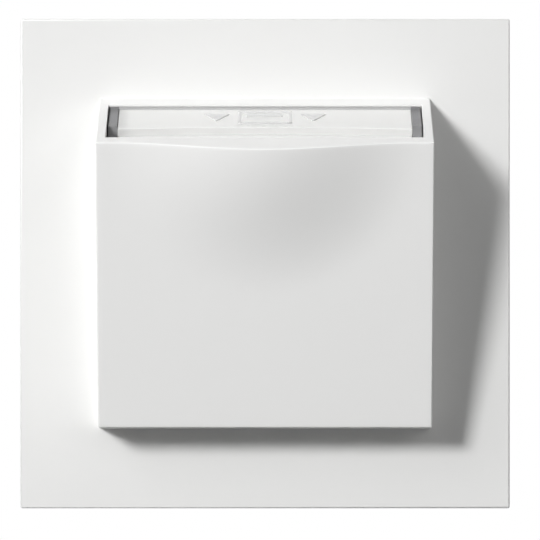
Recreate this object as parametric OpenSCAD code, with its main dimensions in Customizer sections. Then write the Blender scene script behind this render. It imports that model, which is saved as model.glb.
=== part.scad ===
// Hotel key card switch: a square cover frame with a wedge-shaped card pocket,
// a lit legend window in the slanted top of the pocket, a card lever, and a leaf
// switch with screw terminals in the wall box behind it.
// Frame: X to the right, Y into the wall, Z up. The wall surface is y = 0.
// h is the height in front of the face of the cover frame.

/* [Cover frame] */
// Side of the square cover frame
plate_w = 86; // [82:0.5:95]
// Height of the frame's face above the wall
plate_d = 9; // [8:0.5:12]
// Thickness of the frame's face
plate_t = 2.2; // [1.6:0.1:3]
// Thickness of the frame's outer wall
plate_wall = 1.8; // [1.4:0.1:2.4]
// Rounding of the visible edges
edge_r = 0.4; // [0.2:0.1:1]

/* [Card pocket] */
// Height of the pocket's base
pocket_h = 58; // [54:0.5:62]
// Thickness of the pocket's side walls
side_t = 1.6; // [1.4:0.1:2.4]
// Thickness of the pocket's floor
floor_t = 1.8; // [1.4:0.1:2.4]
// Height of the pocket's lip in front of the frame
lip_h = 20; // [18:0.5:26]
// Drop of the slanted top from its back edge to its lip
lip_drop = 8.3; // [6:0.1:11]
// Height of the front face's lower edge in front of the frame
foot_h = 9; // [8:0.5:12]
// Thickness of the front wall
front_t = 2.5; // [2:0.1:3.5]
// Width of the rim behind the legend window
rim_t = 3; // [2.4:0.1:4]
// Height of the swelling in the middle of the lip
bulge_h = 3; // [1:0.1:5]
// Radius at which the swelling has run out into the front face
bulge_r = 25; // [18:0.5:27]

/* [Card slot] */
// Width of a plastic card of the ID-1 size
card_w = 53.98; // [52:0.01:56]
// Play at each edge of the card
card_play = 0.41; // [0.3:0.01:0.8]
// Depth of the card slot, from the front wall back
slot_t = 5.4; // [5.2:0.1:6.5]

/* [Legend window] */
// Gap at each end of the legend window
end_gap = 1.9; // [1:0.1:4]
// Thickness of the clear window
window_t = 1.5; // [1.2:0.1:2]
// Depth of the window's surface under the rim
window_sink = 0.65; // [0.4:0.05:1]
// Hollow of the window's front edge in its middle
window_bow = 0.95; // [0.3:0.05:1.5]
// Thickness of the translucent legend strip
strip_t = 0.5; // [0.3:0.1:0.8]

/* [Mounting] */
// Distance between the two fixing screws
fix_pitch = 60.3; // [60:0.1:60.5]
// Width of a fixing slot
fix_slot_w = 4.2; // [3.8:0.1:4.6]
// Length of a fixing slot
fix_slot_l = 8; // [6:0.5:10]
// Thickness of the steel yoke
yoke_t = 1.2; // [1:0.1:1.6]
// Distance of the yoke's ends inside the frame's edge
yoke_in = 5; // [3:0.1:6]
// Depth of the rear housing behind the wall surface
housing_d = 21; // [20:0.5:26]
// Thickness of the rear housing's walls
housing_t = 1.8; // [1.4:0.1:2.4]

/* [Switch] */
// Width of the card lever
lever_w = 12; // [10:0.5:14]
// Swing of the card lever
lever_swing = 16; // [12:1:18]
// Distance from the lever's pivot to its pushing nose
nose_r = 5.15; // [5:0.05:5.6]
// Diameter of the lever's pin
pin_d = 2; // [1.6:0.1:2.4]
// Running clearance, on the radius
run = 0.05; // [0.02:0.01:0.08]
// Diameter of the plunger
plunger_d = 4.4; // [4:0.1:4.6]
// Thickness of the contact blade
blade_t = 0.5; // [0.4:0.05:0.6]
// Diameter of a wire bore in a terminal clamp
wire_d = 3.4; // [2.8:0.1:3.6]

/* [Hidden] */
$fn = 64;
eps = 0.01;
fit = 0.2;
gap = 0.04;
past = 1;

// Pocket
face_y = -plate_d;
slot_w = card_w + 2 * card_play;
pocket_w = slot_w + 2 * side_t;
wall_in = slot_w / 2;
z_top = pocket_h / 2;
z_lip = z_top - lip_drop;
foot_lift = 0.5;
z_foot = -z_top + foot_lift;
top_a = atan(lip_drop / lip_h);
front_a = atan((lip_h - foot_h) / (z_lip - z_foot));
floor_z = -z_top + floor_t;
rim_d = 3.4;
rim_z = z_top - rim_d;
rim_s = rim_t / cos(top_a);
rim_lip = 0.3;
rabbet = 0.5;
snap_h = 2.6;
snap_z = 6;
snap_l = 8;
snap_d = 0.8;
snap_w = 0.8;

// Cover frame behind the pocket
opening_w = slot_w + 2 * fit;
opening_h = pocket_h - 2 * (side_t - fit);
collar_t = 1.2;
rib_t = 1.2;
rib_at = 14;
rib_gap = 3;
head_room = 5.2;
head_d = 5.4;

// Legend window and its light
window_w = slot_w - 2 * end_gap;
seat_edge = 0.4;
slope_0 = rim_s + seat_edge + fit / 2;
window_lap = 0.35;
slope_1 = (h_guide(z_lip) + window_lap) / cos(top_a);
strip_w = -window_sink - window_t;
tray_w = strip_w - strip_t;
tray_drop = 15.3;
tray_z = z_top - tray_drop;
tray_h = 1.4;
tray_t = 1.2;
tray_wall = 1.5;
tray_floor = 1.4;
board_in = 6.5;
board_w = window_w - 2 * board_in;
board_h = 7;
board_t = 1;
board_lift = 1.9;
board_z = tray_z + board_lift;
board_y = face_y - tray_h - tray_t - board_t;
board_mid = board_z + board_h / 2;
lead_lift = 2.8;
lead_z = tray_z + lead_lift;
lead_r = 0.5;
led_x = 9;

// Carrier of the pocket
carrier_w = slot_w - 2 * fit;
carrier_t = 1.8;
carrier_z = floor_z + 3 * fit;
carrier_top = rim_z - 2 * fit;
seat_top = -rim_lip - fit / 2;
seat_reach = 1.2;
seat_t = 1.3;
seat_z = carrier_top - seat_t;
seat_h = slope_pt(rim_s + seat_edge + seat_reach, tray_w)[0];
seat_back = 1.4;
boss_r = 3.2;
boss_in = 2;
screw_x = carrier_w / 2 - boss_r - boss_in;
screw_drop = 7;
screw_z = z_top - screw_drop;
screw_d = 2.9;
screw_play = 0.15;
screw_head_r = 2.7;
screw_head_h = 1.9;
screw_sink = 2.4;
screw_places = [[-screw_x, screw_z], [screw_x, screw_z], [-screw_x, -screw_z], [screw_x, -screw_z]];

// Plunger and card lever
cover_t = 1.2;
cover_collar = 0.8;
cover_collar_h = 2.2;
lever_rest = -lever_swing / 2;
plunger_z = carrier_z + carrier_t + fit + plunger_d / 2 + cover_collar;
pivot_y = -5;
pivot_z = plunger_z + nose_r * cos(lever_rest);
lever_gap = 0.8;
lever_t = 2;
lever_shoulder = 1;
lug_gap = 1.2;
lug_t = 2.5;
lug_wall = 1.6;
lug_r = pin_d / 2 + lug_wall;
hub_wall = 1.2;
hub_r = pin_d / 2 + hub_wall;
nose_rad = 1.5;
nose_w = 5;
tip_gap = 0.92;
arm_l = pivot_y + plate_d + h_in(pivot_z) - tip_gap;
arm_rib_x = 4;
arm_rib_t = 1.4;
arm_rib_h = 2.2;
stroke = 2 * nose_r * sin(lever_swing / 2);
nose_y = pivot_y + nose_r * sin(lever_rest) + nose_rad;
plunger_y = nose_y + gap;
flange_y = cover_t + run;
flange_t = 1;
flange_w = 1.4;
stem_r = 1.7;
stem_tip_r = 2.2;
stem_tip_l = 1.1;

// Terminals, after the screws of the body
clamp_in = 7;
clamp_pitch = (screw_x - clamp_in) / 1.5;
clamp_xs = [for (i = [-1.5:1:1.5]) i * clamp_pitch];
clamp_rib = 1.2;
clamp_play = 0.9;
clamp_w = clamp_pitch - clamp_rib - 2 * clamp_play;
clamp_h = 8;
clamp_y = 8;
clamp_room = 12;
clamp_d = housing_d - clamp_room;
clamp_z = lead_z;
clamp_foot = clamp_z - clamp_h / 2;
clamp_back = clamp_y + clamp_d;
clamp_screw_r = 1.5;
lead_x = clamp_pitch / 2;
wire_r = wire_d / 2;
wire_in = 3.6;
wire_y = clamp_y + wire_in;
wire_below = 2;
driver_r = 2.9;

// Contacts and brass bars
bar_x = 1.5 * clamp_pitch;
bar_w = 4;
bar_t = 0.8;
bar_below = 3.5;
blade_x = bar_w / 2 - bar_x;
blade_y = 5;
blade_w = 5;
blade_over = 2;
blade_back = blade_y + blade_t / 2;
knuckle_r = 1.5;
blade_pin_r = 0.8;
contact_in = 3;
contact_x = bar_x - contact_in;
contact_r = 1.5;
rivet_h = 0.75;
rivet_r = 0.8;
contact_air = 0.03;
blade_a = asin(stroke / -blade_x);
contact_gap = (contact_x - blade_x + contact_r) * sin(blade_a) + contact_air;
bar_y = blade_back + 2 * rivet_h + contact_gap;
ear_z = 3.1;
ear_t = 0.8;
spring_y = 13;
spring_r = 1.9;
spring_wire = 0.45;
spring_turns = 7;
spring_gap = 0.02;

// Rear housing and yoke
post_r = 3.4;
housing_w = 2 * (screw_x + post_r) + fit;
housing_in = 6;
housing_h = 2 * (screw_z + housing_in);
housing_r = 3;
divide_lift = 5.5;
divide_z = pivot_z + divide_lift;
divide_t = 1.4;
switch_room = 3;
switch_x = bar_x + switch_room;
switch_wall = 2;
spring_seat = 6.8;
spigot_r = 1.5;
spigot_h = 1.4;
yoke_y = -yoke_t;
yoke_w = plate_w - 2 * yoke_in;
yoke_less = 2;
yoke_h = yoke_w - yoke_less;
yoke_r = 4;

function h_in(z) = lip_h - front_t / cos(front_a) + (z - z_lip) * tan(front_a);
function h_guide(z) = h_in(z) - slot_t;
function rim_h(z) = rim_t - (z_slope(rim_t, 0) - z) * tan(top_a);
function z_slope(h, w) = z_top - h * tan(top_a) + w / cos(top_a);
function slope_pt(s, w) = [s * cos(top_a) + w * sin(top_a), z_top - s * sin(top_a) + w * cos(top_a)];
// Where the guide wall, or a plane b behind it, meets the plane w above the slanted top.
function z_meet(w, b = 0) =
    (z_slope(0, w) - tan(top_a) * (h_guide(0) - b)) / (1 + tan(top_a) * tan(front_a));
// Two arcs of one radius: the crown of the swelling, and its run out into the face.
bulge_arc = (bulge_r * bulge_r + bulge_h * bulge_h) / (4 * bulge_h);
function bulge_rise(r) = r < bulge_r / 2
    ? bulge_h - bulge_arc + sqrt(bulge_arc * bulge_arc - r * r)
    : bulge_arc - sqrt(bulge_arc * bulge_arc - (bulge_r - r) * (bulge_r - r));
// The two ends of a width about its middle.
function span(c, w) = [c - w / 2, c + w / 2];
function unit(v) = v / norm(v);
function turn(a) = a > 180 ? a - 360 : a < -180 ? a + 360 : a;
function corner(p, q, s, r, n = 5) =
    let (u = unit(p - q), v = unit(s - q), a = acos(u * v))
    let (c = q + unit(u + v) * (r / sin(a / 2)), t0 = q + u * (r / tan(a / 2)), t1 = q + v * (r / tan(a / 2)))
    let (a0 = atan2(t0[1] - c[1], t0[0] - c[0]), da = turn(atan2(t1[1] - c[1], t1[0] - c[0]) - a0))
    [for (i = [0:n]) c + r * [cos(a0 + da * i / n), sin(a0 + da * i / n)]];
function rounded(p, r, n = 5) =
    [for (i = [0:len(p) - 1]) each corner(p[(i + len(p) - 1) % len(p)], p[i], p[(i + 1) % len(p)], r, n)];
function frame_pts(w, h) = [[-w / 2, -h / 2], [w / 2, -h / 2], [w / 2, h / 2], [-w / 2, h / 2]];
function at_face(p) = [for (q = p) [face_y - q[0], q[1]]];

// A profile in (y, z), drawn out along X about the middle.
module along_x(w) {
    rotate([90, 0, 90])
        translate([0, 0, -w / 2])
            linear_extrude(w)
                children();
}

// A profile in (h, z), from the face of the cover frame.
module wedge(w, pts) {
    along_x(w)
        polygon(at_face(pts));
}

// A profile in (x, z), drawn out from y0 to y1.
module along_y(y0, y1) {
    translate([0, y1, 0])
        rotate([90, 0, 0])
            linear_extrude(y1 - y0)
                children();
}

// A box by its two ends on each axis.
module block(x, y, z) {
    translate([x[0], y[0], z[0]])
        cube([x[1] - x[0], y[1] - y[0], z[1] - z[0]]);
}

// A round bar along Y.
module rod_y(x, z, y0, y1, r) {
    translate([x, y1, z])
        rotate([90, 0, 0])
            cylinder(h = y1 - y0, r = r);
}

// A round bar along X.
module rod_x(y, z, x0, x1, r) {
    translate([x0, y, z])
        rotate([0, 90, 0])
            cylinder(h = x1 - x0, r = r);
}

// The plane of the pocket's slanted top: y runs up the slope, z stands on it.
module on_slope() {
    translate([0, face_y, z_top])
        rotate([top_a, 0, 0])
            children();
}

// The plane of the pocket's front face, from the middle of the lip: y up, z outwards.
module on_front() {
    translate([0, face_y - lip_h, z_lip])
        rotate([90 + front_a, 0, 0])
            children();
}

module face_plate() {
    inner = plate_w / 2 - plate_wall;
    rib_l = 2 * (inner + eps);
    back = -plate_d + plate_t;
    edge = concat([[past, plate_w / 2]], edge_pts(), [[past, -plate_w / 2]]);
    color("white")
        difference() {
            union() {
                difference() {
                    intersection() {
                        along_y(-plate_d, 0)
                            polygon(rounded(frame_pts(plate_w, plate_w), edge_r));
                        along_x(plate_w + 2 * past)
                            polygon(edge);
                        translate([0, 0, -plate_w / 2 - past])
                            linear_extrude(plate_w + 2 * past)
                                polygon([for (p = edge) [p[1], p[0]]]);
                    }
                    block([-inner, inner], [back, past], [-inner, inner]);
                }
                along_y(back - eps, yoke_y)
                    polygon(frame_pts(opening_w + 2 * collar_t, opening_h + 2 * collar_t));
                for (k = [-rib_at, rib_at]) {
                    block(span(0, rib_l), [back - eps, -rib_gap], span(k, rib_t));
                    block(span(k, rib_t), [back - eps, -rib_gap], span(0, rib_l));
                }
            }
            along_y(-plate_d - past, past)
                polygon(frame_pts(opening_w, opening_h));
            for (s = [-1, 1])
                screw_room(s * fix_pitch / 2);
        }
}

// Room for the head of a fixing screw.
module screw_room(x) {
    block(span(x, 2 * head_room), [-head_d, past], span(0, 2 * head_room));
}

function edge_pts() =
    let (w = plate_w / 2)
    concat(corner([0, w], [-plate_d, w], [-plate_d, 0], edge_r),
        corner([-plate_d, 0], [-plate_d, -w], [0, -w], edge_r));

module pocket_shell() {
    b = [lip_h, z_lip];
    c = [foot_h, z_foot];
    d = [0, -z_top];
    over = b + (b - c) / 2;
    w = pocket_w / 2;
    deep = -2 * lip_h;
    across = concat([[-w, deep]], corner([-w, deep], [-w, 0], [w, 0], edge_r),
        corner([-w, 0], [w, 0], [w, deep], edge_r), [[w, deep]]);
    color("white")
        union() {
            difference() {
                union() {
                    intersection() {
                        wedge(pocket_w, concat([[0, over[1]], over], corner(b, c, d, edge_r), [d]));
                        on_front()
                            translate([0, pocket_w, 0])
                                rotate([90, 0, 0])
                                    linear_extrude(3 * pocket_w)
                                        polygon(across);
                    }
                    lip_bulge();
                }
                on_slope()
                    translate([-pocket_w, -2 * pocket_w, 0])
                        cube([2 * pocket_w, 3 * pocket_w, 2 * pocket_w]);
                wedge(slot_w, [[-1, floor_z], [h_in(floor_z), floor_z], [h_in(2 * z_top), 2 * z_top],
                    [rim_h(2 * z_top), 2 * z_top], slope_pt(rim_s, -rim_lip),
                    slope_pt(rim_s - rabbet, -rim_lip), [rim_h(rim_z) - rabbet / cos(top_a), rim_z],
                    [-1, rim_z]]);
            }
            for (s = [-1, 1])
                snap_bump(s);
        }
}

// The swelling of the lip: a flat dome that runs out into the front face.
module lip_bulge() {
    bands = 16;
    under = 1;
    skirt = 0.06;
    on_front()
        translate([0, 0, -skirt])
            rotate([0, 0, 90])
                rotate_extrude($fn = 128)
                    polygon(concat([[0, -under], [bulge_r, -under]],
                        [for (i = [bands:-1:0]) [bulge_r * i / bands, bulge_rise(bulge_r * i / bands)]]));
}

// A ridge inside each side wall that snaps into the carrier's cheek.
module snap_bump(s) {
    root = side_t / 4;
    crest = snap_w / 4;
    translate([s * wall_in, face_y - snap_h, snap_z])
        linear_extrude(snap_l, center = true)
            polygon([[s * root, -snap_w], [0, -snap_w], [-s * snap_d, -crest], [-s * snap_d, crest],
                [0, snap_w], [s * root, snap_w]]);
}

module window_outline(w, s0, s1, bow) {
    r = (w * w / 4 + bow * bow) / (2 * bow);
    difference() {
        translate([-w / 2, -s1])
            square([w, s1 - s0]);
        translate([0, bow - s1 - r])
            circle(r, $fn = 256);
    }
}

module legend_window() {
    relief = 0.2;
    color("lightcyan", 0.6)
        on_slope()
            union() {
                translate([0, 0, strip_w])
                    linear_extrude(window_t)
                        window_outline(window_w, slope_0, slope_1, window_bow);
                translate([0, -(slope_0 + slope_1 - window_bow) / 2, -window_sink - eps])
                    linear_extrude(relief + eps)
                        pictogram();
            }
}

// A plain sign for putting a card in: the outline of a card between two arrow heads.
module pictogram() {
    sign_w = 9.4;
    sign_h = 6;
    line = 0.6;
    stripe = 1.1;
    arrow_x = 8.4;
    arrow_w = 4.4;
    arrow_h = 3.2;
    difference() {
        polygon(rounded(frame_pts(sign_w, sign_h), line + 0.1));
        polygon(rounded(frame_pts(sign_w - 2 * line, sign_h - 2 * line), line / 2));
    }
    translate([-sign_w / 3, stripe / 2])
        square([sign_w * 2 / 3, stripe]);
    for (s = [-1, 1])
        translate([s * arrow_x, 0])
            polygon([[-arrow_w / 2, arrow_h / 2], [arrow_w / 2, arrow_h / 2], [0, -arrow_h / 2]]);
}

module legend_strip() {
    color("ivory")
        on_slope()
            translate([0, 0, tray_w])
                linear_extrude(strip_t)
                    window_outline(window_w - 2 * fit, slope_0 + 2 * fit, slope_1 - fit, window_bow);
}

module light_tray() {
    zf = z_meet(tray_w);
    zb = seat_z - fit / 2;
    hb = seat_h + fit;
    zi = tray_z + tray_floor;
    color("white")
        difference() {
            wedge(window_w, [[tray_h, tray_z], [h_guide(tray_z), tray_z], [h_guide(zf), zf],
                [hb, z_slope(hb, tray_w)], [hb, zb], [tray_h, zb]]);
            wedge(window_w - 2 * tray_wall, [[tray_h + tray_t, zi], [h_guide(zi) - tray_wall, zi],
                [h_guide(2 * z_top) - tray_wall, 2 * z_top], [tray_h + tray_t, 2 * z_top]]);
            for (s = [-1, 1])
                rod_y(s * lead_x, lead_z, face_y - tray_h - 2 * tray_t, face_y, lead_r + run);
        }
}

module led_board() {
    hole_r = 0.8;
    hole_in = 2.5;
    color("seagreen")
        difference() {
            block(span(0, board_w), [board_y, board_y + board_t], span(board_mid, board_h));
            for (s = [-1, 1])
                rod_y(s * (board_w / 2 - hole_in), board_z + board_h - hole_in,
                    board_y - past, board_y + 2 * board_t, hole_r);
        }
}

module led(x) {
    led_w = 3.5;
    led_h = 2.8;
    led_t = 1.3;
    lens_r = 1.1;
    lens_h = 0.2;
    color("ivory")
        union() {
            block(span(x, led_w), [board_y - led_t, board_y], span(board_mid, led_h));
            rod_y(x, board_mid, board_y - led_t - lens_h, board_y - led_t + lens_h, lens_r);
        }
}

module led_left() {
    led(-led_x);
}

module led_right() {
    led(led_x);
}

module dropper_resistor() {
    body_l = 5.2;
    body_r = 0.8;
    cap_l = 1.4;
    cap_r = 0.9;
    cap_x = body_l / 2 + (cap_l - cap_r) / 2;
    color("tan")
        union() {
            rod_x(board_y - cap_r, board_mid, -body_l / 2, body_l / 2, body_r);
            for (s = [-1, 1])
                rod_x(board_y - cap_r, board_mid, s * cap_x - cap_l / 2, s * cap_x + cap_l / 2, cap_r);
        }
}

module lead(x) {
    color("peru")
        rod_y(x, lead_z, board_y + board_t, clamp_y, lead_r);
}

module lead_line() {
    lead(-lead_x);
}

module lead_neutral() {
    lead(lead_x);
}

module pocket_carrier() {
    t = carrier_t;
    z0 = carrier_z;
    z1 = carrier_top;
    zt = tray_z;
    hb = tray_h;
    foot = -plate_d - yoke_y;
    cheek = carrier_w / 2;
    notch = snap_d + fit / 2;
    color("gray")
        difference() {
            union() {
                difference() {
                    wedge(carrier_w, [[foot, z0], [h_guide(z0), z0], [h_guide(zt), zt],
                        [hb, zt], [hb, seat_z], [seat_h, seat_z], [seat_h, z_slope(seat_h, tray_w)],
                        slope_pt(rim_s + seat_edge, tray_w), slope_pt(rim_s + seat_edge, seat_top),
                        slope_pt(rim_s - rabbet + fit / 2, seat_top),
                        [rim_h(z1) + (fit / 2 - rabbet) / cos(top_a), z1], [foot, z1]]);
                    wedge(carrier_w - 2 * t, [[foot - past, z0 + t], [h_guide(z0 + t) - t, z0 + t],
                        [h_guide(zt - t) - t, zt - t], [hb - t, zt - t],
                        [hb - t, z1 - t], [foot - past, z1 - t]]);
                }
                for (p = screw_places)
                    rod_y(p[0], p[1], face_y, yoke_y, boss_r);
                for (s = [-1, 1]) {
                    lever_lug(s);
                    card_ledge(s);
                    seat_end(s);
                }
            }
            block([-lever_w / 2 - lever_gap, lever_w / 2 + lever_gap], [face_y - lip_h, face_y + carrier_t],
                [pivot_z - nose_r, pivot_z + 2 * lever_t]);
            rod_x(pivot_y, pivot_z, -2 * lever_w, 2 * lever_w, pin_d / 2);
            for (p = screw_places)
                rod_y(p[0], p[1], face_y + boss_in / 2, past, screw_d / 2 + run);
            for (s = [-1, 1]) {
                rod_y(s * lead_x, lead_z, face_y - 2 * tray_h, face_y + 2 * carrier_t, lead_r + 1.5 * fit);
                screw_room(s * fix_pitch / 2);
                translate([s * cheek, face_y - snap_h, snap_z])
                    cube([2 * notch, 2 * (snap_w + fit), snap_l + 4 * fit], center = true);
            }
        }
}

// A block beside each end of the window, a step behind the guide wall.
module seat_end(s) {
    x0 = window_w / 2 + fit / 2;
    x1 = carrier_w / 2 - fit / 4;
    root = carrier_t / 2;
    w = seat_top - fit / 2;
    zf = z_meet(w, seat_back);
    za = tray_z - root;
    zb = carrier_top - root;
    translate([s * (x0 + x1) / 2, 0, 0])
        wedge(x1 - x0, [[tray_h - root, za], [h_guide(tray_z) - seat_back, za],
            [h_guide(zf) - seat_back, zf], slope_pt(rim_s + seat_edge / 2, w),
            [rim_h(zb) + seat_edge / 2, zb], [tray_h - root, zb]]);
}

// An ear for the lever's pin on the back of the guide wall.
module lever_lug(s) {
    x = lever_w / 2 + lug_gap + lug_t / 2;
    root = carrier_t / 3;
    union() {
        block(span(s * x, lug_t), [face_y - h_guide(pivot_z) + root, pivot_y], span(pivot_z, 2 * lug_r));
        rod_x(pivot_y, pivot_z, s * x - lug_t / 2, s * x + lug_t / 2, lug_r);
    }
}

// A shelf across the slot on which the card comes to rest.
module card_ledge(s) {
    za = pivot_z - 2.5;
    zb = pivot_z - 0.5;
    root = carrier_t / 3;
    front = 2 * fit;
    x0 = lever_w / 2 + lug_gap + lug_t;
    translate([s * (x0 + carrier_w / 2) / 2, 0, 0])
        wedge(carrier_w / 2 - x0, [[h_guide(za) - root, za], [h_in(za) - front, za],
            [h_in(zb) - front, zb], [h_guide(zb) - root, zb]]);
}

module card_lever() {
    r = lever_t / 2;
    hub_l = lever_w / 2 + lever_shoulder;
    color("gainsboro")
        translate([0, pivot_y, pivot_z])
            rotate([lever_rest, 0, 0])
                difference() {
                    union() {
                        rod_x(0, 0, -hub_l, hub_l, hub_r);
                        block(span(0, lever_w), [r - arm_l, 0], span(0, lever_t));
                        rod_x(r - arm_l, 0, -lever_w / 2, lever_w / 2, r);
                        for (s = [-1, 1])
                            block(span(s * arm_rib_x, arm_rib_t), [arm_rib_h - arm_l, -r], [-arm_rib_h, 0]);
                        block(span(0, nose_w), [-nose_rad, nose_rad - 2 * fit], [-nose_r, 0]);
                        rod_x(0, -nose_r, -nose_w / 2, nose_w / 2, nose_rad);
                    }
                    rod_x(0, 0, -lever_w, lever_w, pin_d / 2 + run);
                }
}

module lever_pin() {
    l = lever_w / 2 + lug_gap + lug_t + 2 * fit;
    color("silver")
        rod_x(pivot_y, pivot_z, -l, l, pin_d / 2);
}

module yoke() {
    window_top = screw_z - 4;
    window_foot = plunger_z - ear_z - knuckle_r - fit;
    hole_r = 2;
    nail_r = 1.6;
    hole_in = 4.5;
    nail_in = 7;
    color("lightsteelblue")
        difference() {
            along_y(yoke_y, 0)
                polygon(rounded(frame_pts(yoke_w, yoke_h), yoke_r));
            block([-switch_x, switch_x], [-2 * yoke_t, past], [pivot_z - past, window_top]);
            block([blade_x, -blade_x], [-2 * yoke_t, past], [window_foot, pivot_z]);
            for (p = screw_places)
                rod_y(p[0], p[1], -2 * yoke_t, past, screw_d / 2 + screw_play);
            for (s = [-1, 1]) {
                fixing_slot(s * fix_pitch / 2);
                rod_y(0, s * (yoke_h / 2 - hole_in), -2 * yoke_t, past, hole_r);
                for (x = [-1, 1])
                    rod_y(x * (yoke_w / 2 - nail_in), s * (yoke_h / 2 - nail_in), -2 * yoke_t, past, nail_r);
            }
        }
}

// A fixing slot, long in X, through the yoke.
module fixing_slot(x) {
    e = (fix_slot_l - fix_slot_w) / 2;
    union() {
        block(span(x, 2 * e), [-2 * yoke_t, past], span(0, fix_slot_w));
        for (s = [-1, 1])
            rod_y(x + s * e, 0, -2 * yoke_t, past, fix_slot_w / 2);
    }
}

module rear_housing() {
    w = housing_w / 2;
    h = housing_h / 2;
    back = housing_d - housing_t;
    pad_x = bar_x - 0.5;
    pad_w = 5;
    pad_z = plunger_z - 4.4;
    pad_h = 7;
    rib_y = clamp_y / 2;
    rib_z = clamp_foot - bar_below;
    shelf = clamp_h + 2 * past;
    slit = bar_w + 4 * fit;
    bar_room = [bar_y - fit, bar_y + bar_t + fit];
    color("lightgray")
        difference() {
            union() {
                difference() {
                    along_y(0, housing_d)
                        polygon(rounded(frame_pts(housing_w, housing_h), housing_r));
                    block([housing_t - w, w - housing_t], [-past, back], [housing_t - h, h - housing_t]);
                }
                for (p = screw_places)
                    rod_y(p[0], p[1], 0, housing_d - eps, post_r);
                block([past - w, w - past], [cover_t, back + eps], [divide_z - divide_t, divide_z]);
                for (s = [-1, 1]) {
                    block(span(s * switch_x, switch_wall), [cover_t, back + eps], [past - h, divide_z]);
                    block(span(s * pad_x, pad_w), [bar_y + bar_t, back + eps], [pad_z, pad_z + pad_h]);
                }
                block(span(0, spring_seat), [spring_y, back + eps], span(plunger_z, spring_seat));
                rod_y(0, plunger_z, spring_y - spigot_h, spring_y + eps, spigot_r);
                for (i = [-2:2])
                    block(span(i * clamp_pitch, clamp_rib), [rib_y, back + eps], [rib_z, h - past]);
                block(span(0, 4 * clamp_pitch), [clamp_back, back + eps], span(clamp_z, shelf));
            }
            for (x = clamp_xs)
                rod_y(x, clamp_z, clamp_y, housing_d + past, driver_r);
            block(span(0, 4 * clamp_pitch - clamp_rib), [rib_y, back], [h - 2 * housing_t, h + past]);
            for (p = screw_places) {
                rod_y(p[0], p[1], -past, housing_d + past, screw_d / 2 + screw_play);
                rod_y(p[0], p[1], housing_d - screw_sink, housing_d + past, screw_head_r + 1.5 * fit);
            }
            for (s = [-1, 1])
                block(span(s * bar_x, slit), bar_room, span(divide_z, 4 * divide_t));
            block(span(-clamp_pitch, bar_w), bar_room, [rib_z - past, clamp_foot + fit]);
        }
}

module switch_cover() {
    w = switch_x + fit;
    color("gray")
        difference() {
            union() {
                block([-w, w], [0, cover_t], [-housing_h / 2 + housing_t + fit, divide_z - 2 * fit]);
                rod_y(0, plunger_z, -cover_collar_h, fit, plunger_d / 2 + cover_collar);
            }
            rod_y(0, plunger_z, -2 * cover_collar_h, 2 * cover_t, plunger_d / 2 + run);
        }
}

module switch_plunger() {
    tip_y = blade_y - blade_t / 2;
    color("white")
        union() {
            rod_y(0, plunger_z, plunger_y, flange_y + eps, plunger_d / 2);
            rod_y(0, plunger_z, flange_y, flange_y + flange_t, plunger_d / 2 + flange_w);
            rod_y(0, plunger_z, flange_y + flange_t - eps, tip_y - stem_tip_l, stem_r);
            intersection() {
                translate([0, tip_y - gap - stem_tip_r, plunger_z])
                    sphere(stem_tip_r);
                rod_y(0, plunger_z, tip_y - stem_tip_l - fit / 2, blade_y, stem_r);
            }
        }
}

// A coil of round wire along Y, as rings of points joined into one skin.
module coil(y0, y1, r, wire, turns) {
    steps = 18;
    sides = 6;
    n = steps * turns;
    pitch = (y1 - y0 - wire) / turns;
    line = [for (i = [0:n]) let (a = i * 360 / steps)
        [r * cos(a), y0 + wire / 2 + pitch * i / steps, r * sin(a)]];
    pts = [for (i = [0:n]) let (a = i * 360 / steps)
        for (j = [0:sides - 1]) let (b = j * 360 / sides)
            line[i] + wire / 2 * [cos(b) * cos(a), sin(b), cos(b) * sin(a)]];
    skin = [for (i = [0:n - 1]) for (j = [0:sides - 1])
        let (p = i * sides + j, q = i * sides + (j + 1) % sides)
            each [[p, q, q + sides], [p, q + sides, p + sides]]];
    ends = [for (j = [1:sides - 2]) each [[0, j + 1, j], [n * sides, n * sides + j, n * sides + j + 1]]];
    near = min([for (i = [0:n - steps / 2]) for (k = [i + steps / 2:n]) norm(line[i] - line[k])]);
    echo(coil_gap_to_itself = near - wire);
    polyhedron(points = pts, faces = concat(skin, ends), convexity = 10);
}

module return_spring() {
    color("silver")
        translate([0, 0, plunger_z])
            coil(blade_back + spring_gap, spring_y - spring_gap, spring_r, spring_wire, spring_turns);
}

module contact_blade() {
    z0 = plunger_z - blade_w / 2;
    color("goldenrod")
        difference() {
            union() {
                block([blade_x, contact_x + blade_over], span(blade_y, blade_t), span(plunger_z, blade_w));
                translate([blade_x, blade_y, z0])
                    cylinder(h = blade_w, r = knuckle_r);
            }
            translate([blade_x, blade_y, z0 - past])
                cylinder(h = blade_w + 2 * past, r = blade_pin_r + run);
            rod_y(contact_x, plunger_z, blade_y - past, blade_y + past, rivet_r);
        }
}

module blade_contact() {
    color("silver")
        union() {
            rod_y(contact_x, plunger_z, blade_back, blade_back + rivet_h, contact_r);
            rod_y(contact_x, plunger_z, blade_y - blade_t / 2, blade_back + eps, rivet_r);
        }
}

module blade_pin() {
    l = ear_z + ear_t / 2 + fit;
    color("silver")
        translate([blade_x, blade_y, plunger_z - l])
            cylinder(h = 2 * l, r = blade_pin_r);
}

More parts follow.
